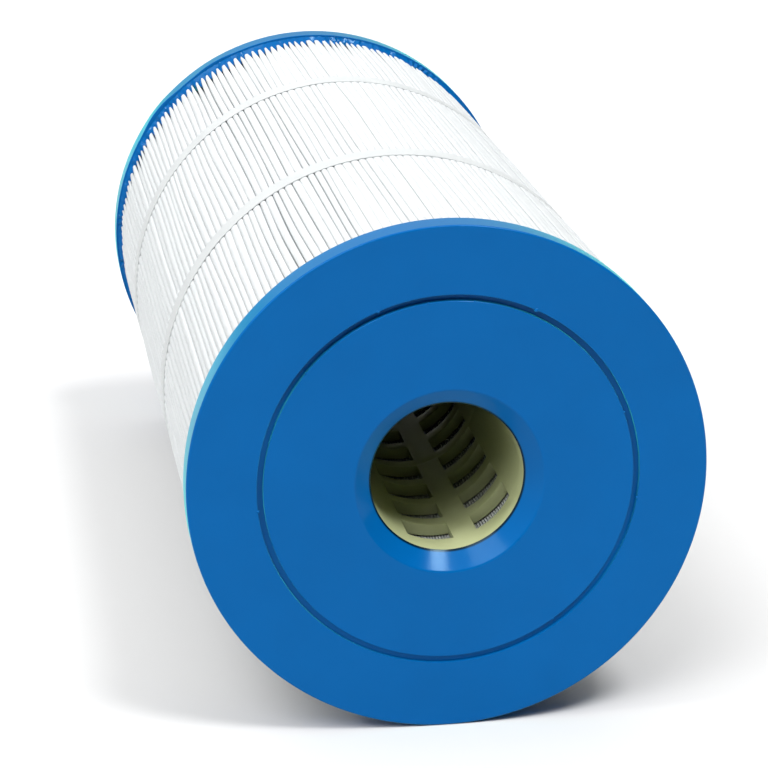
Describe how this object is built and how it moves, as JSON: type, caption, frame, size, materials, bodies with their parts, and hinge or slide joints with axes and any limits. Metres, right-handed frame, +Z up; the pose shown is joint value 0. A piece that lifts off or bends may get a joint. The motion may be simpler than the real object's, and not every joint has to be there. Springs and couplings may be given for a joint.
{
  "type": "pleated pool filter cartridge",
  "caption": "Cylindrical pleated water filter cartridge with poured end caps, a perforated core open at both ends, and straps round the pleats.",
  "frame": {"origin": "on the ground line under the cartridge, midway along its length", "axes": "+Y along the cartridge's axis from the near end to the far end, +Z up, the cartridge lying on its side on the caps' rims"},
  "size_m": [0.216, 0.432, 0.216],
  "materials": {
    "end_cap": "smooth satin cast polyurethane, mid blue",
    "core": "moulded plastic, cream, slightly soft sheen",
    "media": "white spunbonded polyester, fine felted surface",
    "seam": "set hot-melt glue, milky",
    "band": "white polyester strap, set in glue"
  },
  "bodies": {
    "root": {"near_end_cap": "end_cap", "far_end_cap": "end_cap", "core_section_1": "core", "core_section_2": "core", "core_section_3": "core", "core_section_4": "core", "pleated_media": "media", "media_seam": "seam", "band_1": "band", "band_2": "band"}
  },
  "joints": []
}
